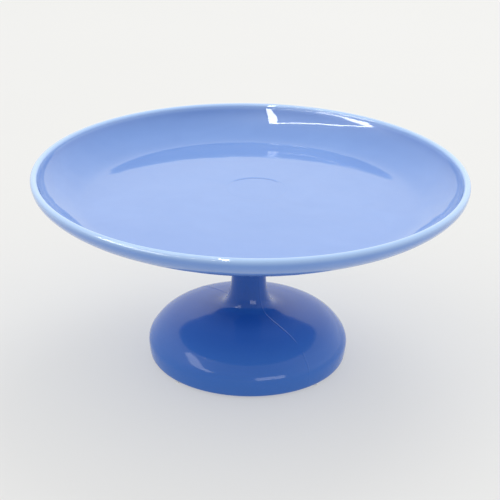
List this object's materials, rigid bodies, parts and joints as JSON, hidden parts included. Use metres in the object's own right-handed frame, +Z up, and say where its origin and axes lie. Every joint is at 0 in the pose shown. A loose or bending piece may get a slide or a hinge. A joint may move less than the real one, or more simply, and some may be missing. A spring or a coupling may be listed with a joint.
{
  "type": "pedestal cake stand",
  "caption": "Round glossy blue cake stand: a shallow rimmed plate carried on a waisted neck and a wide domed foot, held together by a hidden bolt.",
  "frame": {"origin": "centre of the foot on the plane the pads rest on", "axes": "+Z up the axis of neck and plate; X and Y are alike, with the pads on the diagonals"},
  "size_m": [0.3, 0.3, 0.14],
  "materials": {
    "blue_glass": "gloss",
    "brass": "satin",
    "zinc_plated_steel": "satin",
    "black_rubber": "matte",
    "clear_silicone": "satin"
  },
  "bodies": {
    "base": {"pedestal": "blue_glass", "joint_gasket": "clear_silicone", "foot_pad_1": "clear_silicone", "foot_pad_2": "clear_silicone", "foot_pad_3": "clear_silicone", "foot_pad_4": "clear_silicone"},
    "washers": {"cushion_washer": "black_rubber", "flat_washer": "zinc_plated_steel"},
    "bolt": {"centre_bolt": "zinc_plated_steel"},
    "plate_body": {"plate": "blue_glass", "threaded_insert": "brass"}
  },
  "joints": [
    {"name": "washer_drop", "type": "slide", "parent": "base", "child": "washers", "axis": [0, 0, -1], "range_m": [0, 0.009]},
    {"name": "bolt_turn", "type": "hinge", "parent": "washers", "child": "bolt", "pos_m": [0, 0, 0.02], "axis": [0, 0, -1], "range_deg": [0, 3240]},
    {"name": "plate_lift", "type": "slide", "parent": "base", "child": "plate_body", "axis": [0, 0, 1], "range_m": [0, 0.06]}
  ],
  "couplings": [
    {"joint": "bolt_turn", "follows": "washer_drop", "rad_per_m": 6283.2}
  ]
}
